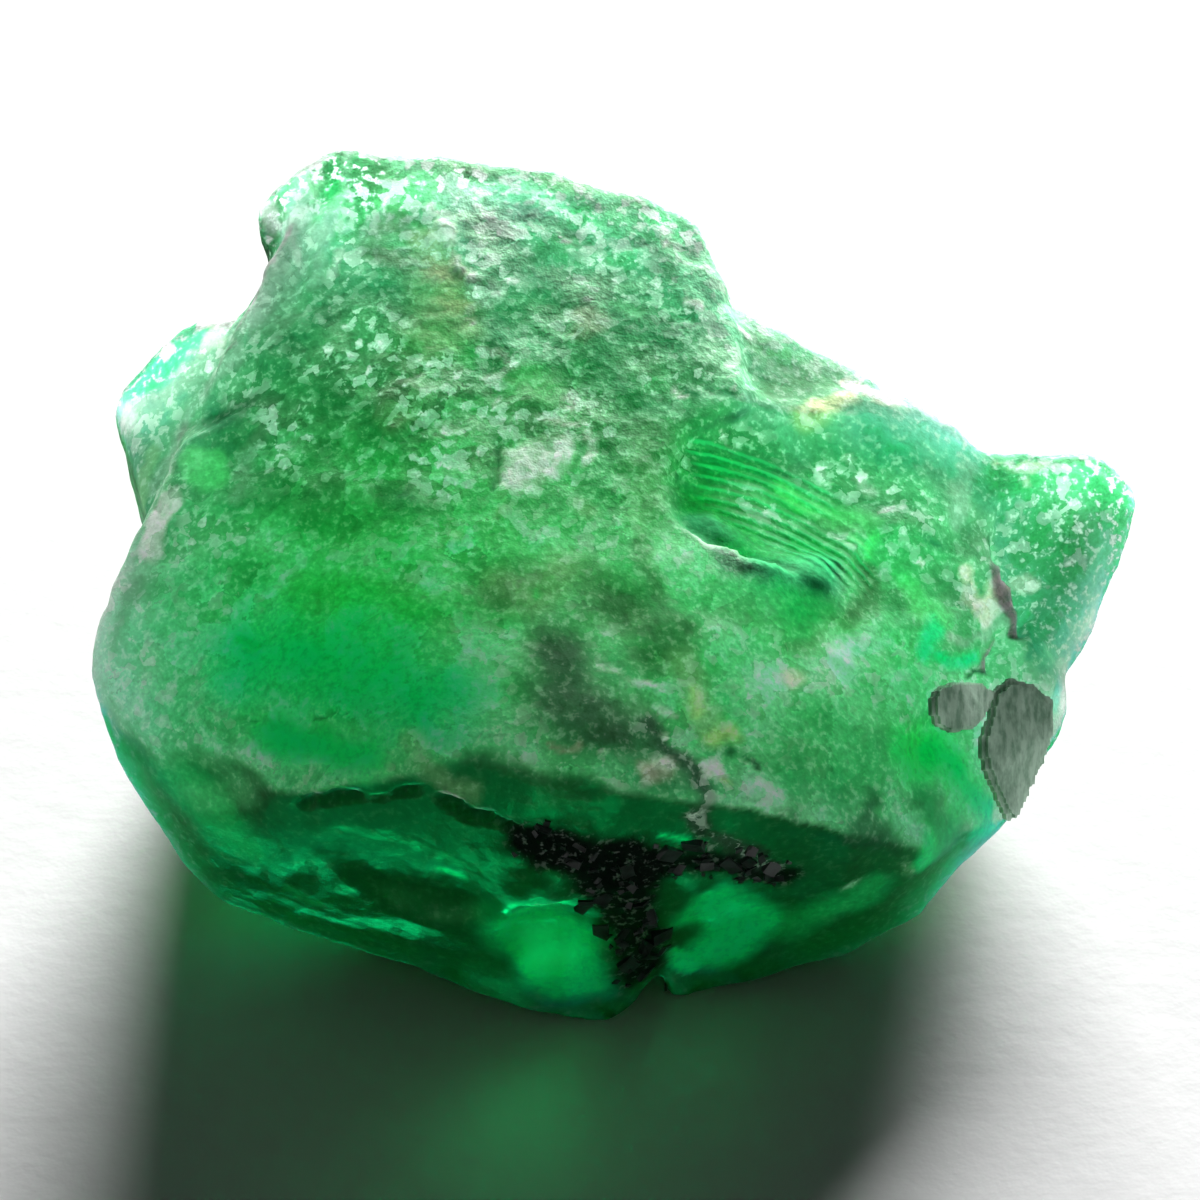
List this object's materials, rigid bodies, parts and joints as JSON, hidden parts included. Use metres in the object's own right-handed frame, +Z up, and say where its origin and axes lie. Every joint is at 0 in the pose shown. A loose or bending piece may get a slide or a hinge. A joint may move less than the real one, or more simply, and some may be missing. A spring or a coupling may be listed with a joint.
{
  "type": "raw emerald crystal",
  "caption": "Rough lump of translucent green beryl with worn crystal faces and shell-shaped breaks, resting on a flat face.",
  "frame": {"origin": "middle of the stone's box in plan, at the level of the flat face it rests on", "axes": "+X towards the small crystal at the stone's right end, +Y towards the back, +Z up"},
  "size_m": [0.0148, 0.0112, 0.0083],
  "materials": {
    "green_beryl": "frosted translucent natural surface"
  },
  "bodies": {
    "root": {"emerald": "green_beryl"}
  },
  "joints": []
}
